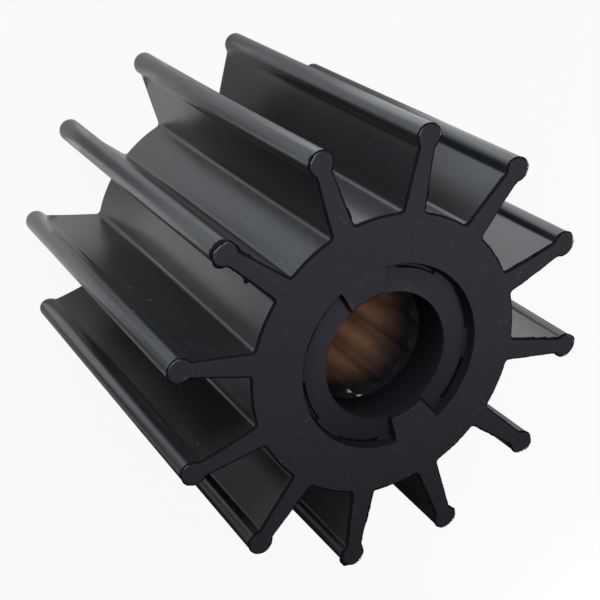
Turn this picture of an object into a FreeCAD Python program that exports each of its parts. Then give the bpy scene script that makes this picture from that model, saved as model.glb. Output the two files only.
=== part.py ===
import FreeCAD, Part
import math
import os

import Sketcher
from FreeCAD import Placement, Rotation, Vector

# Rubber pump impeller: one rubber moulding, a hub with twelve straight beaded blades,
# and a splined bronze bushing that is bonded inside the hub.
# The part stands on its back end. +Z is the shaft axis and points out of the front face,
# the origin is the centre of the back face, and the first blade lies along +X.
# Lengths are in millimetres and angles in degrees.

SIZES = (
    ("tip_diameter", 95.0, "across opposite blade tips"),
    ("impeller_length", 86.0, "hub and blades, end face to end face"),
    ("blade_count", 12, "blades, evenly spaced"),
    ("hub_diameter", 60.0, "floor of the channels between the blades"),
    ("blade_root_thickness", 4.8, "blade where it leaves the hub"),
    ("blade_neck_thickness", 3.3, "blade just under its bead"),
    ("blade_sink", 3.0, "how far the blade section starts inside the hub"),
    ("bead_diameter", 5.1, "round sealing bead along each blade tip"),
    ("root_fillet", 1.0, "between a blade and the channel floor"),
    ("neck_fillet", 1.2, "between a blade and its bead"),
    ("bore_diameter", 26.8, "rubber-lined bore at both ends of the bushing"),
    ("bore_mouth_diameter", 28.4, "wide end of the cone at each mouth of the bore"),
    ("bore_mouth_depth", 1.2, "depth of the cone at each mouth of the bore"),
    ("recess_diameter", 39.6, "outer wall of the recess in the front face"),
    ("recess_wall_depth", 2.0, "recess depth beside its outer wall"),
    ("recess_bore_depth", 0.8, "recess depth beside the bore"),
    ("recess_fillet", 0.9, "between the recess floor and its outer wall"),
    ("bridge_angle", 30.0, "width of each bridge that splits the recess in two"),
    ("slots_per_half", 3, "arc slots in the floor of each half of the recess"),
    ("slot_outer_diameter", 38.8, "outer edge of the arc slots"),
    ("slot_width", 0.9, "radial width of an arc slot"),
    ("slot_depth", 0.8, "depth of an arc slot under the recess floor"),
    ("slot_angle", 30.0, "length of an arc slot"),
    ("slot_pitch", 50.0, "angle between neighbouring slots of one half ring"),
    ("bushing_diameter", 33.0, "outside of the bushing, where the rubber is bonded"),
    ("bushing_setback", 10.0, "from each end face to the bushing"),
    ("spline_count", 12, "spline grooves in the bushing"),
    ("spline_tip_diameter", 23.6, "across the lands between the grooves"),
    ("spline_root_diameter", 26.6, "across the bottoms of the grooves"),
    ("groove_root_width", 1.0, "flat bottom of a spline groove"),
    ("groove_flank_angle", 48.0, "each side of a spline groove, from its centre line"),
    ("spline_lead_in", 0.4, "chamfer of the lands at both ends"),
    ("bushing_turn", 8.0, "from the first blade to the nearest spline groove"),
    ("cut_overlap", 1.0, "how far a cutting profile reaches past the surface that it cuts"),
)

CLOSE = 0.001

doc = FreeCAD.newDocument("rubber_pump_impeller")
sheet = doc.addObject("Spreadsheet::Sheet", "sizes")
for row, (alias, value, note) in enumerate(SIZES, start=1):
    sheet.set(f"A{row}", alias)
    sheet.set(f"B{row}", str(value))
    sheet.set(f"C{row}", note)
    sheet.setAlias(f"B{row}", alias)
doc.recompute()


def size(alias):
    """Value of a driving dimension, to draw a sketch near its solved shape."""
    return float(sheet.get(alias))


def linked(formula):
    """Expression in which each word that is an alias of the sheet reads its cell."""
    words = []
    for word in formula.split():
        is_alias = any(word == alias for alias, _, _ in SIZES)
        words.append(f"sizes.{word}" if is_alias else word)
    return " ".join(words)


def new_body(label):
    body = doc.addObject("PartDesign::Body", label)
    body.Label = label
    return body


def origin_part(body, role):
    for feature in body.Origin.OriginFeatures:
        if feature.Role == role:
            return feature
    raise ValueError(role)


def new_sketch(body, name, role):
    """Sketch on one of the body's own planes: XY_Plane looks along the axis, XZ_Plane across it."""
    sketch = body.newObject("Sketcher::SketchObject", name)
    sketch.AttachmentSupport = [(origin_part(body, role), "")]
    sketch.MapMode = "FlatFace"
    return sketch


def bind(sketch, name, kind, references, value, formula):
    """Add a named dimension to a sketch and tie it to the sheet."""
    index = sketch.addConstraint(Sketcher.Constraint(kind, *references, value))
    sketch.renameConstraint(index, name)
    sketch.setExpression(f"Constraints.{name}", linked(formula))


def add_circle(sketch, name, diameter):
    index = sketch.addGeometry(Part.Circle(Vector(), Vector(0, 0, 1), size(diameter) / 2))
    sketch.addConstraint(Sketcher.Constraint("Coincident", index, 3, -1, 1))
    bind(sketch, name, "Radius", (index,), size(diameter) / 2, f"{diameter} / 2")


def add_polygon(sketch, corners):
    """Closed outline of straight lines, joined corner to corner. Gives the index of its first line."""
    first = sketch.GeometryCount
    for number, corner in enumerate(corners):
        following = corners[(number + 1) % len(corners)]
        sketch.addGeometry(Part.LineSegment(Vector(*corner, 0), Vector(*following, 0)))
    for number in range(len(corners)):
        following = first + (number + 1) % len(corners)
        sketch.addConstraint(Sketcher.Constraint("Coincident", first + number, 2, following, 1))
    return first


def pin_corner(sketch, name, line, across, along):
    """Fix the start of a line by two (value, formula) pairs, across and up the sketch."""
    bind(sketch, f"{name}_across", "DistanceX", (-1, 1, line, 1), *across)
    bind(sketch, f"{name}_along", "DistanceY", (-1, 1, line, 1), *along)


def pad(body, sketch, name, length):
    feature = body.newObject("PartDesign::Pad", name)
    feature.Profile = sketch
    feature.setExpression("Length", linked(length))
    sketch.Visibility = False
    return feature


def revolved_cut(body, sketch, name, angle="360"):
    """Groove round the shaft axis, spread evenly to both sides of its sketch."""
    feature = body.newObject("PartDesign::Groove", name)
    feature.Profile = sketch
    feature.ReferenceAxis = (origin_part(body, "Z_Axis"), [""])
    feature.Midplane = True
    feature.setExpression("Angle", linked(angle))
    sketch.Visibility = False
    return feature


def round_axis(body, feature, name, count, span="360"):
    """Copies of a feature round the shaft axis. The body's tip moves to the pattern."""
    pattern = body.newObject("PartDesign::PolarPattern", name)
    pattern.Originals = [feature]
    pattern.Axis = (origin_part(body, "Z_Axis"), [""])
    pattern.setExpression("Angle", linked(span))
    pattern.setExpression("Occurrences", linked(count))
    body.Tip = pattern
    return pattern


def edge_names(feature, wanted):
    """Names of the edges of a feature's solid for which wanted(edge) is true."""
    edges = enumerate(feature.Shape.Edges, start=1)
    return [f"Edge{number}" for number, edge in edges if wanted(edge)]


def dress(body, kind, name, base, edges, side, formula):
    """Fillet (side Radius) or chamfer (side Size) on named edges of the feature before it."""
    feature = body.newObject(f"PartDesign::{kind}", name)
    feature.Base = (base, edges)
    feature.setExpression(side, linked(formula))
    doc.recompute()
    return feature


def is_round(edge, diameter):
    """True for a round edge of this diameter."""
    is_circle = edge.Curve.TypeId == "Part::GeomCircle"
    return is_circle and abs(edge.Curve.Radius - size(diameter) / 2) < CLOSE


def is_parallel_edge(edge, radius):
    """True for an edge that runs the whole length of the blades at this distance from the axis."""
    start, end = (vertex.Point for vertex in (edge.Vertexes[0], edge.Vertexes[-1]))
    runs_along = abs(abs(end.z - start.z) - size("impeller_length")) < CLOSE
    return runs_along and abs(math.hypot(start.x, start.y) - radius) < CLOSE


# Rubber moulding: hub, blades with beads, the seat of the bushing and the front recess
def draw_blade_section(sketch):
    """A blade along +X: two tapering flanks that end in the round bead."""
    bead = size("bead_diameter") / 2
    centre = size("tip_diameter") / 2 - bead
    neck = size("blade_neck_thickness") / 2
    root = size("blade_root_thickness") / 2
    hub = size("hub_diameter") / 2
    foot = hub - size("blade_sink")
    neck_distance = centre - math.sqrt(bead ** 2 - neck ** 2)
    taper = (root - neck) / (neck_distance - hub)
    foot_half = root + taper * size("blade_sink")
    opening = math.atan2(neck, neck_distance - centre)

    foot_line = sketch.addGeometry(Part.LineSegment(Vector(foot, -foot_half, 0), Vector(foot, foot_half, 0)))
    left = sketch.addGeometry(Part.LineSegment(Vector(foot, foot_half, 0), Vector(neck_distance, neck, 0)))
    circle = Part.Circle(Vector(centre, 0, 0), Vector(0, 0, 1), bead)
    tip = sketch.addGeometry(Part.ArcOfCircle(circle, -opening, opening))
    right = sketch.addGeometry(Part.LineSegment(Vector(neck_distance, -neck, 0), Vector(foot, -foot_half, 0)))
    measure = sketch.addGeometry(Part.LineSegment(Vector(hub, -root, 0), Vector(hub, root, 0)), True)

    sketch.addConstraint(Sketcher.Constraint("Coincident", foot_line, 2, left, 1))
    sketch.addConstraint(Sketcher.Constraint("Coincident", left, 2, tip, 2))
    sketch.addConstraint(Sketcher.Constraint("Coincident", tip, 1, right, 1))
    sketch.addConstraint(Sketcher.Constraint("Coincident", right, 2, foot_line, 1))
    sketch.addConstraint(Sketcher.Constraint("Symmetric", foot_line, 1, foot_line, 2, -1))
    sketch.addConstraint(Sketcher.Constraint("Symmetric", left, 2, right, 1, -1))
    sketch.addConstraint(Sketcher.Constraint("Vertical", measure))
    sketch.addConstraint(Sketcher.Constraint("PointOnObject", measure, 1, right))
    sketch.addConstraint(Sketcher.Constraint("PointOnObject", measure, 2, left))
    bind(sketch, "bead_radius", "Radius", (tip,), bead, "bead_diameter / 2")
    bind(sketch, "bead_place", "DistanceX", (-1, 1, tip, 3), centre, "( tip_diameter - bead_diameter ) / 2")
    bind(sketch, "foot_place", "DistanceX", (-1, 1, foot_line, 1), foot, "hub_diameter / 2 - blade_sink")
    bind(sketch, "hub_surface", "DistanceX", (-1, 1, measure, 1), hub, "hub_diameter / 2")
    bind(sketch, "root_thickness", "DistanceY", (measure, 1, measure, 2), 2 * root, "blade_root_thickness")
    bind(sketch, "neck_thickness", "DistanceY", (right, 1, left, 2), 2 * neck, "blade_neck_thickness")
    return neck_distance, neck


def draw_recess_section(sketch):
    """Half section of the recess: its floor slopes down from the bore and curves up into the wall."""
    top = size("impeller_length")
    bore = size("bore_diameter") / 2
    start = bore - size("cut_overlap")
    wall = size("recess_diameter") / 2
    clear = top + size("cut_overlap")
    shallow = top - size("recess_bore_depth")
    deep = top - size("recess_wall_depth")
    fillet = size("recess_fillet")
    slope = math.atan2(deep - shallow, wall - bore)
    floor_start = Vector(start, shallow - size("cut_overlap") * math.tan(slope), 0)
    centre = Vector(wall - fillet, deep + fillet * (1 - math.sin(slope)) / math.cos(slope), 0)
    floor_end = centre + Vector(math.sin(slope), -math.cos(slope), 0) * fillet
    wall_start = centre + Vector(fillet, 0, 0)
    circle = Part.Circle(centre, Vector(0, 0, 1), fillet)

    floor = sketch.addGeometry(Part.LineSegment(floor_start, floor_end))
    corner = sketch.addGeometry(Part.ArcOfCircle(circle, slope - math.pi / 2, 0))
    outer = sketch.addGeometry(Part.LineSegment(wall_start, Vector(wall, clear, 0)))
    above = sketch.addGeometry(Part.LineSegment(Vector(wall, clear, 0), Vector(start, clear, 0)))
    inner = sketch.addGeometry(Part.LineSegment(Vector(start, clear, 0), floor_start))
    bore_edge = sketch.addGeometry(Part.Point(Vector(bore, shallow, 0)), True)
    sharp_corner = sketch.addGeometry(Part.Point(Vector(wall, deep, 0)), True)

    sketch.addConstraint(Sketcher.Constraint("Tangent", floor, 2, corner, 1))
    sketch.addConstraint(Sketcher.Constraint("Tangent", corner, 2, outer, 1))
    sketch.addConstraint(Sketcher.Constraint("Coincident", outer, 2, above, 1))
    sketch.addConstraint(Sketcher.Constraint("Coincident", above, 2, inner, 1))
    sketch.addConstraint(Sketcher.Constraint("Coincident", inner, 2, floor, 1))
    sketch.addConstraint(Sketcher.Constraint("PointOnObject", bore_edge, 1, floor))
    sketch.addConstraint(Sketcher.Constraint("PointOnObject", sharp_corner, 1, floor))
    sketch.addConstraint(Sketcher.Constraint("PointOnObject", sharp_corner, 1, outer))
    inside = (start, "bore_diameter / 2 - cut_overlap")
    edge = (bore, "bore_diameter / 2")
    outside = (wall, "recess_diameter / 2")
    high = (clear, "impeller_length + cut_overlap")
    bind(sketch, "corner_radius", "Radius", (corner,), fillet, "recess_fillet")
    bind(sketch, "floor_start", "DistanceX", (-1, 1, floor, 1), *inside)
    pin_corner(sketch, "floor_inside", bore_edge, edge, (shallow, "impeller_length - recess_bore_depth"))
    pin_corner(sketch, "floor_outside", sharp_corner, outside, (deep, "impeller_length - recess_wall_depth"))
    pin_corner(sketch, "top_outside", above, outside, high)
    pin_corner(sketch, "top_inside", inner, inside, high)


def draw_box_section(sketch, inner, outer, low, high):
    """Rectangle between two distances from the axis and two heights, each a (value, formula) pair."""
    corners = [(inner[0], low[0]), (outer[0], low[0]), (outer[0], high[0]), (inner[0], high[0])]
    first = add_polygon(sketch, corners)
    pin_corner(sketch, "low_inside", first, inner, low)
    pin_corner(sketch, "low_outside", first + 1, outer, low)
    pin_corner(sketch, "high_outside", first + 2, outer, high)
    pin_corner(sketch, "high_inside", first + 3, inner, high)


def draw_mouth_sections(sketch):
    """Cones at both mouths of the bore, each drawn past its end face."""
    overlap = size("cut_overlap")
    depth = size("bore_mouth_depth")
    flare = overlap * (size("bore_mouth_diameter") - size("bore_diameter")) / 2 / depth
    inner = (size("bore_diameter") / 2 - overlap, "bore_diameter / 2 - cut_overlap")
    narrow = (size("bore_diameter") / 2, "bore_diameter / 2")
    past_face = "cut_overlap * ( bore_mouth_diameter - bore_diameter ) / 2 / bore_mouth_depth"
    wide = (size("bore_mouth_diameter") / 2 + flare, f"bore_mouth_diameter / 2 + {past_face}")
    front_edge = (size("impeller_length") - depth, "impeller_length - bore_mouth_depth")
    front_end = (size("impeller_length") + overlap, "impeller_length + cut_overlap")
    back_edge = (depth, "bore_mouth_depth")
    back_end = (-overlap, "- cut_overlap")
    for place, edge, end in (("front", front_edge, front_end), ("back", back_edge, back_end)):
        corners = [(inner[0], edge[0]), (narrow[0], edge[0]), (wide[0], end[0]), (inner[0], end[0])]
        first = add_polygon(sketch, corners)
        pin_corner(sketch, f"{place}_edge_inside", first, inner, edge)
        pin_corner(sketch, f"{place}_edge", first + 1, narrow, edge)
        pin_corner(sketch, f"{place}_end", first + 2, wide, end)
        pin_corner(sketch, f"{place}_end_inside", first + 3, inner, end)


def cut_slots(body):
    """Arc slots beside the recess wall: the first one is copied along its half ring and across."""
    section = new_sketch(body, "slot_section", "YZ_Plane")
    first_angle = "- slot_pitch * ( slots_per_half - 1 ) / 2"
    section.AttachmentOffset = Placement(Vector(), Rotation(Vector(0, 1, 0), 1))
    section.setExpression("AttachmentOffset.Rotation.Angle", linked(first_angle))
    outer = size("slot_outer_diameter") / 2
    inner = (outer - size("slot_width"), "slot_outer_diameter / 2 - slot_width")
    floor = size("impeller_length") - size("recess_wall_depth")
    low = (floor - size("slot_depth"), "impeller_length - recess_wall_depth - slot_depth")
    high = (size("impeller_length"), "impeller_length")
    draw_box_section(section, inner, (outer, "slot_outer_diameter / 2"), low, high)
    slot = revolved_cut(body, section, "slot", "slot_angle")
    doc.recompute()

    slots = body.newObject("PartDesign::MultiTransform", "slots")
    slots.Originals = [slot]
    along = round_axis(body, slot, "slots_of_a_half", "slots_per_half", "slot_pitch * ( slots_per_half - 1 )")
    across = round_axis(body, slot, "both_halves", "2")
    for pattern in (along, across):
        pattern.Originals = []
    slots.Transformations = [along, across]
    body.Tip = slots


def make_rubber():
    body = new_body("rubber_impeller")

    hub_section = new_sketch(body, "hub_section", "XY_Plane")
    add_circle(hub_section, "hub_surface", "hub_diameter")
    add_circle(hub_section, "bore_wall", "bore_diameter")
    pad(body, hub_section, "hub", "impeller_length")

    blade_section = new_sketch(body, "blade_section", "XY_Plane")
    neck_distance, neck_half = draw_blade_section(blade_section)
    blade = pad(body, blade_section, "blade", "impeller_length")
    blades = round_axis(body, blade, "blades", "blade_count")
    doc.recompute()

    roots = edge_names(blades, lambda edge: is_parallel_edge(edge, size("hub_diameter") / 2))
    rooted = dress(body, "Fillet", "blade_roots", blades, roots, "Radius", "root_fillet")
    neck_radius = math.hypot(neck_distance, neck_half)
    necks = edge_names(rooted, lambda edge: is_parallel_edge(edge, neck_radius))
    dress(body, "Fillet", "bead_necks", rooted, necks, "Radius", "neck_fillet")

    seat_section = new_sketch(body, "seat_section", "XZ_Plane")
    inner = (size("bore_diameter") / 2 - size("cut_overlap"), "bore_diameter / 2 - cut_overlap")
    outer = (size("bushing_diameter") / 2, "bushing_diameter / 2")
    low = (size("bushing_setback"), "bushing_setback")
    high = (size("impeller_length") - size("bushing_setback"), "impeller_length - bushing_setback")
    draw_box_section(seat_section, inner, outer, low, high)
    revolved_cut(body, seat_section, "bushing_seat")

    recess_section = new_sketch(body, "recess_section", "YZ_Plane")
    draw_recess_section(recess_section)
    half_ring = revolved_cut(body, recess_section, "half_ring", "180 - bridge_angle")
    round_axis(body, half_ring, "recess", "2")
    cut_slots(body)

    mouth_section = new_sketch(body, "mouth_section", "XZ_Plane")
    draw_mouth_sections(mouth_section)
    revolved_cut(body, mouth_section, "bore_mouths")
    return body


# Splined bushing, drawn in its own frame from its own lower end
def draw_groove_section(sketch):
    """A groove along +X: a narrow flat bottom and two flanks that open towards the bore."""
    root = size("spline_root_diameter") / 2
    inside = size("spline_tip_diameter") / 2 - size("cut_overlap")
    bottom = size("groove_root_width") / 2
    slope = math.radians(180 - size("groove_flank_angle"))
    mouth = bottom - (root - inside) * math.tan(slope)
    first = add_polygon(sketch, [(root, -bottom), (root, bottom), (inside, mouth), (inside, -mouth)])
    sketch.addConstraint(Sketcher.Constraint("Symmetric", first, 1, first, 2, -1))
    sketch.addConstraint(Sketcher.Constraint("Symmetric", first + 2, 1, first + 2, 2, -1))
    bind(sketch, "bottom_place", "DistanceX", (-1, 1, first, 1), root, "spline_root_diameter / 2")
    inner = "spline_tip_diameter / 2 - cut_overlap"
    bind(sketch, "inner_place", "DistanceX", (-1, 1, first + 2, 1), inside, inner)
    bind(sketch, "bottom_width", "DistanceY", (first, 1, first, 2), 2 * bottom, "groove_root_width")
    bind(sketch, "flank_slope", "Angle", (first + 1,), slope, "180 - groove_flank_angle")


def make_bushing():
    body = new_body("splined_bushing")
    ring_section = new_sketch(body, "ring_section", "XY_Plane")
    add_circle(ring_section, "outer_wall", "bushing_diameter")
    add_circle(ring_section, "land_wall", "spline_tip_diameter")
    ring = pad(body, ring_section, "ring", "impeller_length - 2 * bushing_setback")
    doc.recompute()

    lands = edge_names(ring, lambda edge: is_round(edge, "spline_tip_diameter"))
    dress(body, "Chamfer", "lead_in", ring, lands, "Size", "spline_lead_in")

    groove_section = new_sketch(body, "groove_section", "XY_Plane")
    draw_groove_section(groove_section)
    groove = body.newObject("PartDesign::Pocket", "groove")
    groove.Profile = groove_section
    groove.Type = "ThroughAll"
    groove.Reversed = True
    groove_section.Visibility = False
    round_axis(body, groove, "splines", "spline_count")

    body.Placement = Placement(Vector(), Rotation(Vector(0, 0, 1), size("bushing_turn")))
    body.setExpression("Placement.Base.z", linked("bushing_setback"))
    body.setExpression("Placement.Rotation.Angle", linked("bushing_turn"))
    doc.recompute()
    return body


subparts = [make_rubber(), make_bushing()]
doc.recompute()

for feature in doc.Objects:
    if "Invalid" in feature.State or "Error" in feature.State:
        raise RuntimeError(f"{feature.Label} failed: {feature.State}")
for subpart in subparts:
    if subpart.Shape.isNull() or not subpart.Shape.isValid() or len(subpart.Shape.Solids) != 1:
        raise RuntimeError(f"{subpart.Label} is not one valid solid")

os.makedirs("parts", exist_ok=True)
for subpart in subparts:
    subpart.Shape.exportStep(f"parts/{subpart.Label}.step")
    box = subpart.Shape.BoundBox
    print(f"{subpart.Label}: {box.XLength:.2f} x {box.YLength:.2f} x {box.ZLength:.2f} mm,"
          f" from z {box.ZMin:.2f}, volume {subpart.Shape.Volume:.1f} mm3")
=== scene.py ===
# %% [markdown]
# # A rubber pump impeller
# A flexible impeller pumps water by bending: twelve rubber blades with thick round tips sweep round an
# oval chamber, and a splined bronze bushing moulded into the middle carries the drive. The construction
# model gives the pieces at their real size. This lesson dresses them: the moulded rubber with its flash,
# its marks and its soft sheen, and the bronze deep in the bore, under plain studio light.

# %% Load the frame
import math

import bmesh
import bpy
import numpy as np
from mathutils import Matrix, Vector, noise


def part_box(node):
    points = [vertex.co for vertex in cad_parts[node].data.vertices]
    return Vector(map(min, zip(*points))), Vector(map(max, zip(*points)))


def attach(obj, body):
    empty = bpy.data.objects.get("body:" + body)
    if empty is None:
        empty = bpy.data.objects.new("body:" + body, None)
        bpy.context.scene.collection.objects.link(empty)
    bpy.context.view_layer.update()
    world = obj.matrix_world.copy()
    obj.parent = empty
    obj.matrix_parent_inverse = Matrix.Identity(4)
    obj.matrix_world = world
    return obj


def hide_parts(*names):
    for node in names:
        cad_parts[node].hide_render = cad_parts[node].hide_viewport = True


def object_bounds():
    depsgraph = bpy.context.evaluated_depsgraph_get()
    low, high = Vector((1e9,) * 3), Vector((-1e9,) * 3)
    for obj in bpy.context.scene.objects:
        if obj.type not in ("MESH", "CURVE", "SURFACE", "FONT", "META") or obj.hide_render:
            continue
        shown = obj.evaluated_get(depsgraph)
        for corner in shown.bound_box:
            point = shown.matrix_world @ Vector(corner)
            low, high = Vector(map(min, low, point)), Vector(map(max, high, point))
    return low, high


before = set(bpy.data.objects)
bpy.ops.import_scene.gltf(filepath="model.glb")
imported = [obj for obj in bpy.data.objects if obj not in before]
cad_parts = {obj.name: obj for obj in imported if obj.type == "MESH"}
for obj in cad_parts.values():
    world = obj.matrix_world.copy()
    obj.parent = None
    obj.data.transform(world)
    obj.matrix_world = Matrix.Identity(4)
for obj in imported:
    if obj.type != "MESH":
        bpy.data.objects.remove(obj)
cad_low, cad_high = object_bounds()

MM = 0.001
scene = bpy.context.scene
print("construction box in mm", [round(v / MM, 2) for v in (*cad_low, *cad_high)])

# %% [markdown]
# ## Sizes in millimetres
# The outside sizes are read from the frame, so that the dressed rubber keeps the place of the solid that
# it stands for. The rest are the sizes of the moulding: hub, blades, the round beads at their tips, the
# recess round the bore and the collars that hold the bushing.

# %% Read the outside sizes and name the others
bushing_low, bushing_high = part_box("splined_bushing")
LENGTH = (cad_high.z - cad_low.z) / MM
TIP_RADIUS = cad_high.x / MM
SEAT_RADIUS = bushing_high.x / MM
SEAT_BACK, SEAT_FRONT = bushing_low.z / MM, bushing_high.z / MM
BLADES = 12
PITCH = 2 * math.pi / BLADES
HUB_RADIUS = 30.0
ROOT_HALF, NECK_HALF = 2.4, 1.65
BEAD_RADIUS = 2.55
BEAD_CENTRE = TIP_RADIUS - BEAD_RADIUS
ROOT_FILLET, NECK_FILLET = 1.0, 1.2
BORE_RADIUS = 13.4
MOUTH_RADIUS, MOUTH_DEPTH = 14.2, 1.2
RECESS_RADIUS = 19.8
print("length", round(LENGTH, 2), "tip radius", round(TIP_RADIUS, 2))
print("seat of the bushing from", round(SEAT_BACK, 2), "to", round(SEAT_FRONT, 2))

# %% [markdown]
# ## The outline of one blade
# Seen from the end, a blade is two tapering flanks that leave the hub in a fillet, swell through a small
# neck fillet and close round the bead. Every corner is an arc that touches its neighbours, so the centre
# of each arc follows from the radii alone and nothing has to be drawn by eye. Half a blade is enough:
# the other half is its mirror image. Points lie 0.3 mm apart, close enough for the ragged flash that
# comes later.

# %% Half a blade, from the middle of the channel to the tip
POINT_STEP = 0.3


def arc(centre, radius, start, end):
    """Points of an arc, its first left out, evenly spaced."""
    count = max(3, math.ceil(abs(end - start) * radius / POINT_STEP))
    angles = np.linspace(start, end, count + 1)[1:]
    return np.stack([centre[0] + radius * np.cos(angles), centre[1] + radius * np.sin(angles)], 1)


def direction(vector):
    return math.atan2(vector[1], vector[0])


def half_blade():
    """The blade lies along +X; y is positive on this side."""
    bead_centre = np.array([BEAD_CENTRE, 0.0])
    neck_x = BEAD_CENTRE - math.sqrt(BEAD_RADIUS ** 2 - NECK_HALF ** 2)
    along = np.array([neck_x - HUB_RADIUS, NECK_HALF - ROOT_HALF])
    along = along / np.linalg.norm(along)
    away = np.array([-along[1], along[0]])
    flank = away @ np.array([HUB_RADIUS, ROOT_HALF])
    reach = HUB_RADIUS + ROOT_FILLET
    root = (flank + ROOT_FILLET) * away + math.sqrt(reach ** 2 - (flank + ROOT_FILLET) ** 2) * along
    gap = BEAD_RADIUS + NECK_FILLET
    drop = flank + NECK_FILLET - bead_centre @ away
    neck = (flank + NECK_FILLET) * away + (bead_centre @ along - math.sqrt(gap ** 2 - drop ** 2)) * along
    down = direction(-away)
    start = np.array([[HUB_RADIUS * math.cos(PITCH / 2), HUB_RADIUS * math.sin(PITCH / 2)]])
    hub = arc((0, 0), HUB_RADIUS, PITCH / 2, direction(root))
    root_arc = arc(root, ROOT_FILLET, direction(root) - math.pi, down)
    neck_arc = arc(neck, NECK_FILLET, down, direction(bead_centre - neck))
    flank_start, flank_end = root_arc[-1], neck - NECK_FILLET * away
    count = math.ceil(np.linalg.norm(flank_end - flank_start) / POINT_STEP)
    run = flank_start + np.linspace(0, 1, count + 1)[1:, None] * (flank_end - flank_start)
    bead = arc(bead_centre, BEAD_RADIUS, direction(neck - bead_centre), 0.0)
    return np.concatenate([start, hub, root_arc, run, neck_arc, bead])


half = half_blade()
print("half a blade has", len(half), "points")

# %% [markdown]
# ## The outline of the whole impeller
# The mirrored half and the half itself make one pitch, and twelve turned pitches make a closed loop. Each
# point remembers its blade and its outward direction: the flash grows along that direction, and a bend
# turns a blade's points about the axis, which keeps them inside the circle of the tips.

# %% Turn the half into a closed loop
mirrored = half * (1, -1)
pitch_points = np.concatenate([mirrored, half[::-1][1:-1]])
blade_of = np.repeat(np.arange(BLADES), len(pitch_points))
turns = blade_of * PITCH
tiled = np.tile(pitch_points, (BLADES, 1))
outline = np.stack([
    tiled[:, 0] * np.cos(turns) - tiled[:, 1] * np.sin(turns),
    tiled[:, 0] * np.sin(turns) + tiled[:, 1] * np.cos(turns),
], 1)
tangent = np.roll(outline, -1, axis=0) - np.roll(outline, 1, axis=0)
tangent /= np.linalg.norm(tangent, axis=1)[:, None]
outward = np.stack([tangent[:, 1], -tangent[:, 0]], 1)
print("outline of", len(outline), "points")

# %% [markdown]
# ## Blades that aren't quite straight
# A rubber blade never stands exactly in its place: it takes a set in the box or in the pump. Each blade
# leans a little at its front end and at its back end, a millimetre or so at most, and some bow between
# the ends. The lean grows from nothing at the hub to its full size at the bead, as a bent leaf does. The
# leans follow the photograph where it shows the blade ends, and are small guesses on the side that it
# hides.

# %% Lean of each blade's tip in mm: at the front, at the back, and halfway
FRONT_LEAN = (-0.39, 0.24, 0.19, -0.83, 0.14, 0.32, -0.03, 0.07, 0.08, 0.78, -0.10, -0.22)
BACK_LEAN = (-0.07, -0.12, -0.54, -1.25, 0.20, -0.55, 1.40, -0.15, 0.10, -0.05, -0.20, -0.17)
BOW = (0.25, 0.05, 0.0, 0.08, 0.10, 0.0, 0.0, 0.0, 0.0, -0.05, -0.10, 0.15)
LEAN_CURVE = 1.7


def leaned(points, z):
    """The loop's points, each turned about the axis by its blade's lean at its height z."""
    share = 1 - z / LENGTH
    front, back, bow = (np.array(leans)[blade_of] for leans in (FRONT_LEAN, BACK_LEAN, BOW))
    lean = front + (back - front) * share + bow * np.sin(np.pi * share)
    radius = np.hypot(points[:, 0], points[:, 1])
    weight = np.clip((radius - HUB_RADIUS) / (BEAD_CENTRE - HUB_RADIUS), 0, None) ** LEAN_CURVE
    angle = np.arctan2(points[:, 1], points[:, 0]) + lean * weight / BEAD_CENTRE
    return np.stack([radius * np.cos(angle), radius * np.sin(angle)], 1)


print("largest lean", max(map(abs, FRONT_LEAN + BACK_LEAN)), "mm")

# %% [markdown]
# ## Flash
# The front face is where the two halves of the mould met. Rubber squeezes into that joint and leaves a
# thin fin round the whole outline, which is torn off and never quite gone. It is what draws the dark,
# slightly ragged line round every blade. Its width here is noise along the outline: a low even fin, and
# longer rags in a few patches.

# %% Width of the flash at each point of the outline
FIN, LEAST_FLASH = 0.13, 0.04
FIN_WAVE, FIN_SWELL = 2.3, 0.8
FIN_RIPPLE, FIN_NIBBLE = 0.7, 0.11
RAG, RAG_GAIN = 0.35, 4
RAG_PATCH, RAG_BARE = 5.0, 0.22
RAG_RIPPLE = 0.8


def ripple(size, seed):
    """Smooth noise between about -1 and 1 along the outline, with waves of that size in mm."""
    return np.array([noise.noise(Vector((p[0] / size, p[1] / size, seed))) for p in outline])


fin = FIN * (1 + FIN_SWELL * ripple(FIN_WAVE, seed=5.0)) + FIN_NIBBLE * ripple(FIN_RIPPLE, seed=2.0)
patches = np.clip(ripple(RAG_PATCH, seed=9.0) - RAG_BARE, 0, None)
rags = patches * RAG * np.abs(ripple(RAG_RIPPLE, seed=3.0)) * RAG_GAIN
flash = np.clip(fin + rags, LEAST_FLASH, RAG)
print("even flash from", flash.min().round(2), "to", flash.max().round(2), "mm")
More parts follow.
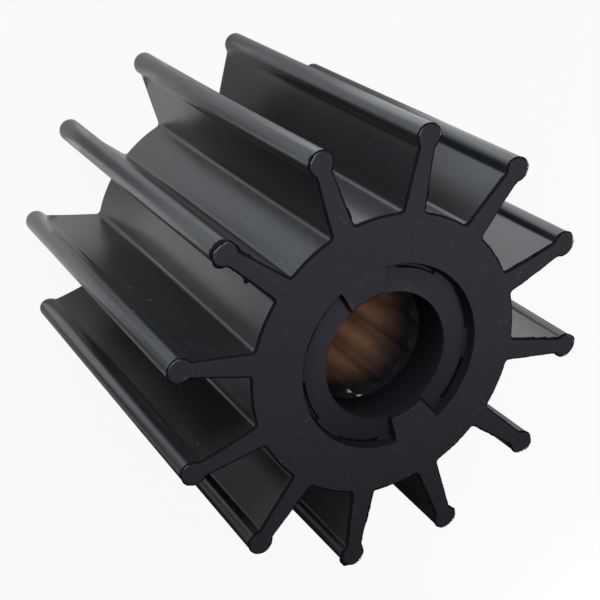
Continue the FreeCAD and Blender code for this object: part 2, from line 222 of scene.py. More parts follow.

# %% [markdown]
# ## Scars
# In some places the tear went wrong: a longer fin stayed on, or a chip of the blade came away with it.
# Each scar is set at a place of its own on a blade. It is at its full size up to half its reach,
# fades out just past it, and gets a fine ripple so that its edge looks bitten and not drawn.

# %% Fins left on and chips torn off
SCARS = [  # blade, place along the blade and across it, reach, fin left on, chip torn off, all in mm
    (0, 47.0, 1.6, 0.7, 0.35, 0.15),
    (0, 45.5, 2.4, 0.8, 0.25, 0.10),
    (0, 33.0, -2.4, 1.3, 0.22, 0.0),
    (1, 47.2, -0.9, 1.5, 0.15, 0.42),
    (1, 47.0, 1.2, 1.2, 0.50, 0.12),
    (1, 44.8, 2.6, 1.2, 0.35, 0.0),
    (1, 37.9, 1.9, 0.55, 0.70, 0.0),
    (1, 42.0, -1.7, 2.2, 0.30, 0.0),
    (5, 46.3, -1.9, 1.6, 0.50, 0.0),
    (5, 33.0, 2.2, 5.0, 0.35, 0.0),
    (7, 47.5, 0.3, 1.8, 0.22, 0.0),
    (8, 47.5, 0.6, 1.8, 0.20, 0.0),
    (8, 35.5, 2.0, 1.3, 0.24, 0.0),
    (8, 39.0, 1.8, 0.8, 0.30, 0.0),
    (8, 42.0, 1.7, 1.1, 0.22, 0.0),
    (9, 33.0, 2.2, 1.2, 0.35, 0.0),
    (9, 38.0, 1.9, 0.8, 0.30, 0.0),
    (11, 33.5, -2.2, 1.4, 0.20, 0.0),
]
SCAR_HEART = 1.25
SCAR_RIPPLE, SCAR_BITE = 0.6, 0.35
chip = np.zeros(len(outline))
bitten = 1 + SCAR_BITE * ripple(SCAR_RIPPLE, seed=7.0)
for blade, along_blade, across, reach, left_on, torn_off in SCARS:
    spot = np.hypot(tiled[:, 0] - along_blade, tiled[:, 1] - across) / reach
    near = (blade_of == blade) * np.clip(SCAR_HEART - spot ** 2, 0, 1) * bitten
    flash += left_on * near
    chip += torn_off * near
print(len(SCARS), "scars, longest fin", flash.max().round(2), "mm, deepest chip", chip.max().round(2), "mm")

# %% [markdown]
# ## Layers of the wall
# The side of the impeller is the outline carried from the back face to the front face in layers. Most
# layers stand between the ends, where a lean needs them. At the back the edge is rounded a little. At
# the front the wall runs out into the torn fin and comes back over its top to a small rounded rim. The
# torn band is 0.8 mm high, 0.6 mm round the beads, and higher at a chip: it is the thin dark line between
# each wall and the face, and its finish darkens it further as painted shade. The smooth rim inside it is
# what catches the light at the bead tops.

# %% Depth of each layer under the front face, and its distance outward
BACK_ROUND = 0.35
BACK_EDGE = [(0.0, -BACK_ROUND), (0.1, -0.14), (0.22, -0.04), (BACK_ROUND, 0.0)]
LEVELS = (1.0, 3.0, 9.0, 18.0, 27.0, 36.0, 45.0, 54.0, 63.0, 72.0, 79.0, 83.0)
TORN_DEPTH, BEAD_TORN_DEPTH, CHIP_DEPTH = 0.80, 0.60, 1.3
LIP_UNDER_TEAR = [(0.4, 0.0), (0.04, 0.0), (0.0, 0.02)]
TORN_PROFILE = [(0.58, 0.8, 0.45), (0.36, 1.0, 0.7), (0.2, 0.6, 1.0)]  # shares of torn depth, flash, chip
TORN_TOP = (0.12, -0.05)
RIM = [(0.04, -0.12), (0.0, -0.27), (0.0, -0.60)]
round_bead = tiled[:, 0] > BEAD_CENTRE - BEAD_RADIUS
torn = np.where(round_bead, BEAD_TORN_DEPTH, TORN_DEPTH) + CHIP_DEPTH * chip
wall_layers = [(LENGTH - z, out) for z, out in BACK_EDGE] + [(LENGTH - z, 0.0) for z in LEVELS]
wall_layers += [(torn + under, out) for under, out in LIP_UNDER_TEAR]
torn_layers = [(torn * deep, left * flash - bite * chip) for deep, left, bite in TORN_PROFILE]
torn_layers.append((TORN_TOP[0], TORN_TOP[1] - chip))
rim_layers = [(depth, out - chip) for depth, out in RIM]
print(len(wall_layers), "layers of wall,", len(torn_layers), "torn,", len(rim_layers), "of rim")

# %% [markdown]
# ## From layers to rings
# A ring is the outline moved outward by the layer's distance and set at its depth. Two things bend it:
# the lean of each blade, and the draft. The hub narrows by 0.3 mm towards the back, as a moulding has to,
# so that it leaves its mould; the draft fades out over the roots of the blades.

# %% Rings of the wall
HUB_DRAFT = 0.30
DRAFT_GONE, DRAFT_FADE = 34.0, 3.0


def keep_inside(points):
    """Points past the construction model's box come back onto it."""
    return np.clip(points, -TIP_RADIUS, TIP_RADIUS)


def layer(depth, out):
    """One ring: depth and distance outward are the same for every point, or one for each."""
    height = LENGTH - np.broadcast_to(depth, len(outline))
    moved = outline + outward * np.broadcast_to(out, len(outline))[:, None]
    radius = np.hypot(moved[:, 0], moved[:, 1])
    draft = HUB_DRAFT * (1 - height / LENGTH) * np.clip((DRAFT_GONE - radius) / DRAFT_FADE, 0, 1)
    moved = leaned(moved * (1 - draft / radius)[:, None], height)
    return np.column_stack([keep_inside(moved), height])


wall_rings, torn_rings, rim_rings = (
    [layer(*each) for each in layers] for layers in (wall_layers, torn_layers, rim_layers))
print(len(wall_rings + torn_rings + rim_rings), "rings of", len(outline), "points")

# %% [markdown]
# ## Recess, bridges and slots
# Round the bore the front face is let in, in two halves with a bridge of full height between them on
# either side. The recess is 2 mm deep at its outer wall, and its floor rises gently to 0.8 mm at the
# bore. Six narrow slots lie against the wall, where pins held the bushing in the mould. All this is a
# height over a radius and an angle, so a polar grid carries it: spokes crowd together at the ends of
# bridges and slots.

# %% Spokes of the grid
BRIDGE_HALF = math.radians(15)
SLOT_HALF = math.radians(15)
SLOT_CENTRES = [math.radians(a) for a in (40, 90, 140, 220, 270, 320)]
SLOT_END = 0.03
SPOKE_STEP, LEAST_STEP = math.radians(1.0), 0.0012
NEAR_BRIDGE = (-0.30, -0.14, -0.05, 0.0, 0.05, 0.11, 0.22, 0.4, 0.65, 0.95, 1.3)
NEAR_SLOT_END = (-SLOT_END, -0.012, 0.0)


def spokes():
    """Angles of the grid: even steps, and a cluster at each end of a bridge and of a slot."""
    angles = list(np.arange(0, 2 * math.pi, SPOKE_STEP))
    for middle in (0, math.pi):
        for side in (-1, 1):
            angles += [middle + side * (BRIDGE_HALF + step / RECESS_RADIUS) for step in NEAR_BRIDGE]
    for middle in SLOT_CENTRES:
        angles += [middle + side * (SLOT_HALF + step) for side in (-1, 1) for step in NEAR_SLOT_END]
    angles = np.sort(np.mod(angles, 2 * math.pi))
    return angles[np.append(True, np.diff(angles) > LEAST_STEP)]


spoke_angles = spokes()
print(len(spoke_angles), "spokes")

# %% [markdown]
# ## Circles where the surface turns
# The other lines of the grid are circles. They crowd together at the rounded edge of the recess, at its
# wall and the rounded foot below it, at both edges of the slots and at the cone that opens the bore.

# %% Circles of the grid
EDGE_ROUND, WALL_DRAFT, FLOOR_CORNER = 0.14, 0.10, 0.9
WALL_FOOT = RECESS_RADIUS - WALL_DRAFT - FLOOR_CORNER
SLOT_OUTER, SLOT_WIDTH = 19.4, 0.9
SLOT_INNER = SLOT_OUTER - SLOT_WIDTH
OUTER_EDGE = (SLOT_OUTER - 0.07, SLOT_OUTER + 0.07)
INNER_EDGE = (SLOT_INNER - 0.05, SLOT_INNER + 0.12)
circle_radii = [21.6, RECESS_RADIUS + 0.5, RECESS_RADIUS + EDGE_ROUND, RECESS_RADIUS + 0.06]
circle_radii += [RECESS_RADIUS, RECESS_RADIUS - 0.05, RECESS_RADIUS - WALL_DRAFT]
circle_radii += [WALL_FOOT + FLOOR_CORNER * math.sin(a) for a in (1.35, 1.05, 0.75, 0.4)]
circle_radii += [*OUTER_EDGE, *INNER_EDGE, 19.25, 18.95, 18.75, 18.2, 17.5, 16.8, 16.0, 15.2, 14.6]
circle_radii += [MOUTH_RADIUS + 0.05, MOUTH_RADIUS - 0.05, 13.95, 13.75, 13.66, 13.58, 13.5, BORE_RADIUS]
circle_radii = sorted(set(circle_radii), reverse=True)
print(len(circle_radii), "circles from", circle_radii[0], "to", circle_radii[-1], "mm")

# %% [markdown]
# ## Depth of recess and slots
# Each part of the front end is a small function of its own. Along a spoke the recess has a rounded edge,
# a wall that is nearly upright, a rounded foot and the sloping floor. The slots add their depth to it.

# %% Recess and slots
FLOOR_AT_WALL, FLOOR_AT_BORE = 2.0, 0.8
EDGE_DEPTH = 0.10
SLOT_DEPTH = 0.8


def ease(value, low, high):
    """0 below low, 1 above high, and a smooth step between them."""
    t = np.clip((value - low) / (high - low), 0, 1)
    return t * t * (3 - 2 * t)


def recess_depth(radius):
    """Depth of the recess along a spoke that crosses it."""
    rise = (FLOOR_AT_BORE - FLOOR_AT_WALL) * (RECESS_RADIUS - radius) / (RECESS_RADIUS - BORE_RADIUS)
    floor = FLOOR_AT_WALL + rise
    if radius >= RECESS_RADIUS + EDGE_ROUND:
        return 0.0
    if radius > RECESS_RADIUS:
        return EDGE_DEPTH * ((RECESS_RADIUS + EDGE_ROUND - radius) / EDGE_ROUND) ** 2
    if radius > RECESS_RADIUS - WALL_DRAFT:
        return EDGE_DEPTH + (floor - FLOOR_CORNER - EDGE_DEPTH) * (RECESS_RADIUS - radius) / WALL_DRAFT
    if radius > WALL_FOOT:
        run = (radius - WALL_FOOT) / FLOOR_CORNER
        return floor - FLOOR_CORNER * (1 - math.sqrt(max(0.0, 1 - run * run)))
    return floor


def slot_depth(radius, angle):
    """Extra depth of the slots that lie against the recess's wall."""
    across = ease(radius, *INNER_EDGE) * (1 - ease(radius, *OUTER_EDGE))
    depth = np.zeros_like(angle)
    for middle in SLOT_CENTRES:
        off = np.abs(np.mod(angle - middle + math.pi, 2 * math.pi) - math.pi)
        depth = np.maximum(depth, 1 - ease(off, SLOT_HALF - SLOT_END, SLOT_HALF))
    return SLOT_DEPTH * across * depth


print("floor of the recess at", [round(recess_depth(r), 2) for r in (WALL_FOOT, BORE_RADIUS)], "mm")

# %% [markdown]
# ## Bridges, mouth and the whole face
# A bridge cancels recess and slots where it crosses them, and its side ends in a rounded foot too. At the
# bore the face opens in a cone. The front end is as deep as the deeper of recess and cone. In the
# photograph the recess lies a little off the shaft axis, as the loose core of a mould does, so its rings
# are shifted by an amount that fades to nothing at the bore.

# %% Rings of the front face
SIDE_DRAFT, SIDE_SHARE, FOOT_SHARE = 0.1, 0.72, 0.28
END_ROUND = 0.8
RECESS_OFFSET = (-0.55, -0.55)


def bridge_share(radius, angle):
    """0 on a bridge, 1 in the recess, with a rounded foot at the bridge's side."""
    off = np.minimum(np.mod(angle, math.pi), math.pi - np.mod(angle, math.pi))
    away = (off - BRIDGE_HALF) * radius
    side = SIDE_SHARE * np.clip(away / SIDE_DRAFT, 0, 1)
    run = 1 - np.clip((away - SIDE_DRAFT) / END_ROUND, 0, 1)
    return side + FOOT_SHARE * np.sqrt(np.clip(1 - run ** 2, 0, 1))


def front_height(radius):
    """Height of the front face along one circle: the recess or the mouth's cone, whichever is deeper."""
    recess = recess_depth(radius) + slot_depth(radius, spoke_angles)
    cone = max(0.0, MOUTH_DEPTH * (MOUTH_RADIUS - radius) / (MOUTH_RADIUS - BORE_RADIUS))
    return LENGTH - np.maximum(recess * bridge_share(radius, spoke_angles), cone)


def ring_at(radius, height, off_centre=0.0):
    """One ring of the grid, at one height or at one for each spoke."""
    heights = np.broadcast_to(height, spoke_angles.shape)
    x = radius * np.cos(spoke_angles) + RECESS_OFFSET[0] * off_centre
    y = radius * np.sin(spoke_angles) + RECESS_OFFSET[1] * off_centre
    return np.column_stack([x, y, heights])


recess_rings = [ring_at(r, front_height(r), ease(r, MOUTH_RADIUS, WALL_FOOT)) for r in circle_radii]
print("deepest point of the front face", round(LENGTH - min(r[:, 2].min() for r in recess_rings), 2), "mm")

# %% [markdown]
# ## Bore
# Behind the recess the bore runs through a rubber collar to the end of the bushing. There the rubber
# steps out to the bushing's seat, and it closes in again behind it, so the bushing is locked in. The
# seat is never seen, but with it the rubber is one closed skin, as a moulding is.

# %% Rings down the bore, along the seat and out through the back collar
LIP = 0.15
BACK_RING = 5.0
mouth = recess_rings[-1][:, 2]
bore_rings = [ring_at(BORE_RADIUS, SEAT_FRONT + (mouth - SEAT_FRONT) * share) for share in (0.8, 0.5, 0.2)]
bore_rings.append(ring_at(BORE_RADIUS, SEAT_FRONT + LIP))
seat_path = [(BORE_RADIUS + LIP, SEAT_FRONT), (SEAT_RADIUS, SEAT_FRONT), (SEAT_RADIUS, SEAT_BACK)]
seat_path += [(BORE_RADIUS, SEAT_BACK), (BORE_RADIUS, BACK_RING)]
seat_path += [(BORE_RADIUS, MOUTH_DEPTH), (MOUTH_RADIUS, 0.0)]
bore_rings += [ring_at(radius, height) for radius, height in seat_path]
print(len(bore_rings), "rings in the bore")

# %% [markdown]
# ## Rings and filled faces
# The wall, the recess and the bore are all rings with quads between them. The two flat faces join them:
# each is filled between the outline and a circle, with a hole in the middle, by triangles. The parts of
# the skin get numbers for their finish: the end faces, the polished walls, the torn band round the front
# edge and the dull rubber of the bore; the last two are darker than the face as painted shade.

# %% Two tools for the skin
# The torn finish and the dull finish are darker than the face as painted shade
END_FINISH, WALL_FINISH, TORN_SHADE_FINISH, DULL_SHADE_FINISH = 0, 1, 2, 3


def add_rings(bm, rings, finishes):
    """Vertices for each ring, and quads between neighbours. A strip has one finish, or one a quad."""
    rows = [[bm.verts.new(Vector(p) * MM) for p in ring] for ring in rings]
    count = len(rows[0])
    for lower, upper, finish in zip(rows, rows[1:], finishes):
        for i, number in enumerate(np.broadcast_to(finish, count).tolist()):
            j = (i + 1) % count
            bm.faces.new((lower[i], lower[j], upper[j], upper[i])).material_index = number
    return rows[0], rows[-1]


def fill_face(bm, outer, inner, up):
    """Triangles between an outer loop and the circle of its hole, all facing up or down."""
    loops = [bm.edges.get((a, b)) or bm.edges.new((a, b))
             for loop in (outer, inner) for a, b in zip(loop, loop[1:] + loop[:1])]
    made = bmesh.ops.triangle_fill(bm, use_beauty=True, use_dissolve=False, edges=loops)
    faces = [item for item in made["geom"] if isinstance(item, bmesh.types.BMFace)]
    for face in faces:
        face.material_index = END_FINISH
        face.normal_update()
        if face.normal.z * up < 0:
            face.normal_flip()
    return len(faces)


print("the skin has", DULL_SHADE_FINISH + 1, "finishes")

# %% [markdown]
# ## One skin
# Where the recess steps down, every quad that stands steep gets the dull finish of the bore, darker than
# the face as painted shade. So does the rim's outer edge, apart from the bead tops, where a polished rim
# draws the bright line that the photograph shows.

# %% Build the rubber as one mesh
STEEP = 0.3


def steep_shade_finish(outer, inner):
    """The dull finish, darker than the face as painted shade, for the quads of a strip that stand steep."""
    run = np.hypot(*(outer - inner)[:, :2].T)
    drop = np.abs(outer[:, 2] - inner[:, 2])
    along = np.roll(outer, -1, axis=0) - outer
    steep = np.maximum(drop / run, np.abs(along[:, 2]) / np.hypot(along[:, 0], along[:, 1])) > STEEP
    return np.where(steep, DULL_SHADE_FINISH, END_FINISH)


def make_rubber():
    bm = bmesh.new()
    # The rim's outer edge gets the dull finish, darker as painted shade, apart from the polished bead tops
    rim_edge = np.where(tiled[:, 0] > BEAD_CENTRE, WALL_FINISH, DULL_SHADE_FINISH)
    finishes = [WALL_FINISH] * (len(wall_rings) - 1) + [TORN_SHADE_FINISH] * len(torn_rings)
    finishes += [DULL_SHADE_FINISH, rim_edge, END_FINISH]
    back_loop, front_loop = add_rings(bm, wall_rings + torn_rings + rim_rings, finishes)
    finishes = [steep_shade_finish(*pair) for pair in zip(recess_rings, recess_rings[1:])]
    finishes += [DULL_SHADE_FINISH] * len(bore_rings)
    recess_loop, bore_loop = add_rings(bm, recess_rings + bore_rings, finishes)
    front = fill_face(bm, front_loop, recess_loop, up=1)
    back = fill_face(bm, back_loop, bore_loop, up=-1)
    print("end faces filled with", front, "and", back, "triangles")
    mesh = bpy.data.meshes.new("moulded_rubber")
    bm.to_mesh(mesh)
    bm.free()
    return mesh


rubber_mesh = make_rubber()
print("rubber has", sum(len(p.vertices) - 2 for p in rubber_mesh.polygons), "triangles")

# %% [markdown]
# ## Into the frame
# The skin is shaded smooth, with creases kept where two faces meet at more than 38 degrees. It rides on
# the one body, and it replaces the plain rubber solid. The bushing keeps its own mesh.

# %% Put the rubber in its place
CREASE = math.radians(38)
rubber_mesh.polygons.foreach_set("use_smooth", [True] * len(rubber_mesh.polygons))
rubber_mesh.set_sharp_from_angle(angle=CREASE)
rubber = bpy.data.objects.new("moulded_rubber", rubber_mesh)
scene.collection.objects.link(rubber)
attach(rubber, "root")
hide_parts("rubber_impeller")
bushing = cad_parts["splined_bushing"]
print("dressed rubber stands in for the solid; the bushing stays:", bushing.name)

# %% [markdown]
# ## Shader maths that reads like maths
# A node material is a web of sockets. This small class wraps one output socket, so that a sum on wires
# adds the Math nodes for it, and 1 - mask works as written.

# %% Wires


class Wire:
    """An output socket that can be used in sums."""

    def __init__(self, recipe, socket):
        self.recipe = recipe
        self.socket = socket

    def combine(self, operation, first, second):
        return self.recipe.node("ShaderNodeMath", {"operation": operation}, {0: first, 1: second})

    def __add__(self, other):
        return self.combine("ADD", self, other)

    def __radd__(self, other):
        return self.combine("ADD", other, self)

    def __sub__(self, other):
        return self.combine("SUBTRACT", self, other)

    def __rsub__(self, other):
        return self.combine("SUBTRACT", other, self)

    def __mul__(self, other):
        return self.combine("MULTIPLY", self, other)

    def __rmul__(self, other):
        return self.combine("MULTIPLY", other, self)


print("wires can be added, subtracted and multiplied")

# %% [markdown]
# ## Recipes
# A recipe holds the nodes of one material. Every node comes from one method, which sets the node's own
# settings first and then its sockets, with numbers or with wires. The other methods are the few sets of
# nodes that all finishes share: a place on the object, a blend of two colours, a bump and the surface.

# %% Recipes


class Recipe:
    """A material's nodes, from the first texture to the output."""

    def __init__(self, name, world=None):
        self.material = world or bpy.data.materials.new(name)
        self.material.use_nodes = True
        self.tree = self.material.node_tree
        self.tree.nodes.clear()

    def node(self, kind, settings=None, sockets=None, output=0):
        """Adds a node and returns one of its outputs as a wire."""
        made = self.tree.nodes.new(kind)
        for key, value in (settings or {}).items():
            setattr(made, key, value)
        for key, value in (sockets or {}).items():
            if isinstance(value, Wire):
                self.tree.links.new(value.socket, made.inputs[key])
            else:
                made.inputs[key].default_value = value
        return Wire(self, made.outputs[output]) if made.outputs else made

    def vector(self, operation, first, second=(0, 0, 0), third=(0, 0, 0), output=0):
        """Vector maths on up to three vectors."""
        sockets = {0: first, 1: second, 2: third}
        return self.node("ShaderNodeVectorMath", {"operation": operation}, sockets, output)

    def place(self, stretch=(1, 1, 1)):
        """The object's own coordinates, in metres, stretched by a vector."""
        return self.vector("MULTIPLY", self.node("ShaderNodeTexCoord", output="Object"), stretch)

    def upright(self, vector):
        """The part of a vector along the axis of the bore."""
        return self.node("ShaderNodeSeparateXYZ", sockets={0: vector}, output="Z")

    def mix(self, factor, first, second):
        """Blends two colours."""
        return self.node("ShaderNodeMix", {"data_type": "RGBA"}, {0: factor, 6: first, 7: second}, output=2)

    def bump(self, height, strength, depth):
        """Turns a height between 0 and 1 into a bump of that depth in mm."""
        sockets = {"Strength": strength, "Distance": depth * MM, "Height": height}
        return self.node("ShaderNodeBump", sockets=sockets)

    def finish(self, shader):
        self.node("ShaderNodeOutputMaterial", sockets={"Surface": shader})
        return self.material

    def surface(self, sockets):
        return self.finish(self.node("ShaderNodeBsdfPrincipled", sockets=sockets))

    def matt(self, grey):
        """A grey that only scatters light."""
        return self.node("ShaderNodeBsdfDiffuse", sockets={"Color": (grey, grey, grey, 1)})


print("recipe methods:", [name for name in vars(Recipe) if not name.startswith("_")])

# %% [markdown]
# ## Grain, dust and scratches
# Old stock is dusty. Crumbs of pale dust and hair scratches sit in patches and leave the rest clean. A
# crumb is the inside of a cell of Voronoi texture, bent out of round by noise. A hair is the thin line
# where a slow noise crosses its middle. All of them are measured in millimetres on the object.

# %% Textures measured in millimetres
CRUMB_BEND = 1.2
CRUMB_RIM, CRUMB_HEART, HAIR_HEART = 0.55, 0.25, 0.4
CRUMB_PATCH, CRUMB_PATCH_EDGE = 4.0, 0.06
HAIR_PATCH, HAIR_PATCH_EDGE = 2.5, 0.05


def step(recipe, value, low, high):
    """0 below low, 1 above high, or the other way round where low is the larger."""
    return recipe.node("ShaderNodeMapRange", {"clamp": True}, {0: value, 1: low, 2: high, 3: 0.0, 4: 1.0})


def cloud(recipe, size, detail=3.0, stretch=(1, 1, 1)):
    """Noise with waves of that size."""
    sockets = {"Vector": recipe.place(stretch), "Scale": 1 / (size * MM), "Detail": detail}
    return recipe.node("ShaderNodeTexNoise", sockets=sockets)


def specks(recipe, cell, size, bare):
    """Crumbs of that size, one at most in a cell; bare clears that share of the surface."""
    sockets = {"Vector": recipe.place(), "Scale": 1 / (CRUMB_BEND * MM)}
    shape = recipe.node("ShaderNodeTexNoise", sockets=sockets, output=1)
    bent = recipe.vector("MULTIPLY_ADD", shape, [size * MM] * 3, recipe.place())
    near = recipe.node("ShaderNodeTexVoronoi", {"feature": "F1"}, {"Vector": bent, "Scale": 1 / (cell * MM)})
    crumbs = step(recipe, near, CRUMB_RIM * size / cell, CRUMB_HEART * size / cell)
    return crumbs * step(recipe, cloud(recipe, CRUMB_PATCH), bare, bare + CRUMB_PATCH_EDGE)


def hairs(recipe, size, width, bare):
    """Hair scratches that wander over that size, kept only here and there."""
    off = recipe.node("ShaderNodeMath", {"operation": "ABSOLUTE"}, {0: cloud(recipe, size, 1.0) - 0.5})
    lines = step(recipe, off, width, width * HAIR_HEART)
    return lines * step(recipe, cloud(recipe, HAIR_PATCH), bare, bare + HAIR_PATCH_EDGE)


print("dust patches of", CRUMB_PATCH, "and", HAIR_PATCH, "mm")

# %% [markdown]
# ## Black rubber: the walls
# Moulded rubber is one nearly black compound with four skins. The walls copy polished steel, so they
# carry a soft sheen that follows whatever pale thing stands nearby, and faint lines along the way they
# left the mould. The sheen is a little blue, as the photograph shows it. A slow cloud keeps it from
# being even, and a very shallow bump breaks its edge.

# %% The polished walls
RUBBER_WALL = (0.0045, 0.0050, 0.0055, 1)
WALL_SHEEN, WALL_TINT = 0.95, (0.89, 0.935, 1.0, 1)
DUST = (0.12, 0.12, 0.13, 1)
DRAWN = (1, 1, 0.06)


def make_wall_rubber():
    recipe = Recipe("wall_rubber")
    broad = cloud(recipe, 14.0)
    drawn = cloud(recipe, 1.2, detail=2.0, stretch=DRAWN)
    crumbs = specks(recipe, cell=3.2, size=0.42, bare=0.50)
    dust = crumbs + hairs(recipe, size=3.0, width=0.008, bare=0.60) * 0.6
    return recipe.surface({
        "Base Color": recipe.mix(dust * 0.35, RUBBER_WALL, DUST),
        "Roughness": 0.22 + broad * 0.08 + drawn * 0.06 + dust * 0.2,
        "Normal": recipe.bump(drawn * 0.5 + cloud(recipe, 0.5) * 0.15, strength=0.25, depth=0.02),
        "Specular IOR Level": WALL_SHEEN,
        "Specular Tint": WALL_TINT,
    })


wall_rubber = make_wall_rubber()
print("finish:", wall_rubber.name)

# %% [markdown]
# ## Black rubber: the end faces
# The end faces were scraped clean of flash. They are matt, with a grain a third of a millimetre across,
# and a touch more violet than the walls. Dust keeps to a matt face better than to a polished one, so its
# crumbs stand closer together here.

# %% The scraped end faces
RUBBER_FACE = (0.0072, 0.0066, 0.0090, 1)
FACE_SHEEN, FACE_TINT = 0.36, (0.86, 0.82, 1.0, 1)


def make_face_rubber():
    recipe = Recipe("face_rubber")
    broad = cloud(recipe, 9.0)
    grain = cloud(recipe, 0.35, detail=4.0)
    crumbs = specks(recipe, cell=2.4, size=0.42, bare=0.48)
    dust = crumbs + hairs(recipe, size=2.6, width=0.008, bare=0.56) * 0.7
    return recipe.surface({
        "Base Color": recipe.mix(dust * 0.32 + grain * 0.04, RUBBER_FACE, DUST),
        "Roughness": 0.45 + broad * 0.10 + grain * 0.08,
        "Normal": recipe.bump(grain, strength=0.5, depth=0.03),
        "Specular IOR Level": FACE_SHEEN,
        "Specular Tint": FACE_TINT,
    })


face_rubber = make_face_rubber()
print("finish:", face_rubber.name)

# %% [markdown]
# ## Black rubber: where it is dull, and painted shade
# Torn rubber and the bore have no skin from polished steel. They scatter the little light that they
# return, so they are rough and hardly glossy, the torn edge with a coarser grain than the bore. Their
# colours are darker than the face as painted shade: the torn band for the shade under the fin, the bore
# for the shade inside it and at the recess's steps.

# %% Torn rubber, the bore, and all four finishes on the mesh
# Darker than the face as painted shade: the torn band under the fin
RUBBER_TORN_SHADE = (0.0022, 0.0022, 0.0026, 1)
# Darker than the face as painted shade: the bore and the recess's steps
RUBBER_BORE_SHADE = (0.0045, 0.0042, 0.0057, 1)


def make_dull_shaded_rubber(name, colour, roughness, sheen, grain_depth):
    recipe = Recipe(name)
    grain = cloud(recipe, 0.3)
    return recipe.surface({
        "Base Color": colour,
        "Roughness": roughness + grain * 0.2,
        "Normal": recipe.bump(grain, strength=0.8, depth=grain_depth),
        "Specular IOR Level": sheen,
    })


torn_shade_rubber = make_dull_shaded_rubber("torn_shade_rubber", RUBBER_TORN_SHADE, roughness=0.75, sheen=0.08, grain_depth=0.10)
bore_shade_rubber = make_dull_shaded_rubber("bore_shade_rubber", RUBBER_BORE_SHADE, roughness=0.85, sheen=0.04, grain_depth=0.02)
for finish in (face_rubber, wall_rubber, torn_shade_rubber, bore_shade_rubber):  # in the order of the finish numbers
    rubber_mesh.materials.append(finish)
print("rubber finishes:", [m.name for m in rubber_mesh.materials])

# %% [markdown]
# ## Painted shade and a painted glint on the bronze
# The bushing is a bronze casting whose splines were broached. Three masks of painted light lie on it.
# Towards the front a painted shade turns the metal near black, and it ends in a wavering line. The
# grooves between the lands are darker as painted shade. On one edge of the end a pale patch is a
# painted glint: it is held to a few tenths of a millimetre by its height and by the slope of the surface.

# %% Painted shade at the front and in the grooves, and a painted glint, as masks
# Where the painted shade at the front of the bushing begins and where it is full, in mm
FRONT_SHADE_START, FRONT_SHADE_FULL, FRONT_SHADE_WAVER = 57.0, 77.0, 6.0
# Radii between which the painted shade in the grooves rises
LAND_RADIUS, GROOVE_RADIUS = 11.9, 12.9
# Place and size of the painted glint on one edge of the bushing's end, in mm
GLINT_SPOT, GLINT_REACH, GLINT_HEART = (-11.1, 5.9, 75.7), 2.1, 0.8
GLINT_BOTTOM, GLINT_TOP = 75.1, 75.4
TOO_FLAT, STEEP_ENOUGH = 0.8, 0.6


# Painted shade: near black towards the front of the bushing, with a wavering edge
def front_shade_mask(recipe, height, stain):
    return recipe.node("ShaderNodeMapRange", {"clamp": True, "interpolation_type": "SMOOTHSTEP"}, {
        0: height + stain * FRONT_SHADE_WAVER * MM, 1: FRONT_SHADE_START * MM, 2: FRONT_SHADE_FULL * MM, 3: 0.0, 4: 1.0})


# Painted shade in the grooves between the lands
def groove_shade_mask(recipe):
    across = recipe.vector("LENGTH", recipe.place((1, 1, 0)), output="Value")
    return step(recipe, across, LAND_RADIUS * MM, GROOVE_RADIUS * MM)


# A painted glint, held to a thin band by its place, its height and the slope
def painted_glint_mask(recipe, height):
    away = recipe.vector("DISTANCE", recipe.place(), [v * MM for v in GLINT_SPOT], output="Value")
    near = step(recipe, away, GLINT_REACH * MM, GLINT_REACH * GLINT_HEART * MM)
    high = step(recipe, height, GLINT_BOTTOM * MM, GLINT_TOP * MM)
    slope = recipe.upright(recipe.node("ShaderNodeNewGeometry", output="Normal"))
    return near * high * step(recipe, slope, TOO_FLAT, STEEP_ENOUGH)


print("film from", FRONT_SHADE_START, "to", FRONT_SHADE_FULL, "mm; scuff at", GLINT_SPOT)

# %% [markdown]
# ## Bronze
# Broaching draws a long toothed bar through the bore, so every mark runs along it: noise stretched along
# the axis makes those marks. Bare metal is amber, patchy stains darken it, and painted shade darkens the
# grooves. Under the painted shade at the front it counts as rubber, so the metal fades out there and the
# surface gets rougher.

# %% The finish of the bushing
BRONZE = (0.88, 0.45, 0.25, 1)
# Colour of tarnish, and of the painted shade in the grooves
BRONZE_TARNISH_AND_SHADE = (0.26, 0.15, 0.10, 1)
# Near-black colour of the painted shade at the front of the bushing
FRONT_SHADE_COLOUR = (0.010, 0.010, 0.013, 1)
# Pale colour of the painted glint
PAINTED_GLINT = (0.60, 0.58, 0.56, 1)
BROACHED = (1, 1, 0.03)
METAL, BRONZE_SHEEN = 0.4, 0.12


def make_bronze():
    recipe = Recipe("broached_bronze")
    stain = cloud(recipe, 7.0)
    marks = cloud(recipe, 0.5, stretch=BROACHED)
    height = recipe.upright(recipe.place())
    # Painted shade towards the front of the bushing
    front_shade = front_shade_mask(recipe, height, stain)
    # Tarnish and broaching marks, and painted shade in the grooves
    stain_and_groove_shade = stain * 0.25 + marks * 0.15 + groove_shade_mask(recipe) * 0.6
    stained_and_shaded = recipe.mix(front_shade, recipe.mix(stain_and_groove_shade, BRONZE, BRONZE_TARNISH_AND_SHADE), FRONT_SHADE_COLOUR)
    return recipe.surface({
        # The painted glint over the bronze
        "Base Color": recipe.mix(painted_glint_mask(recipe, height), stained_and_shaded, PAINTED_GLINT),
        "Metallic": METAL - front_shade * METAL,
        "Roughness": 0.38 + marks * 0.22 + stain * 0.1 + front_shade * 0.3,
        "Normal": recipe.bump(marks, strength=0.4, depth=0.03),
        "Specular IOR Level": BRONZE_SHEEN,
    })


bushing.data.materials.clear()
bushing.data.materials.append(make_bronze())
print("bushing finish:", bushing.data.materials[0].name)

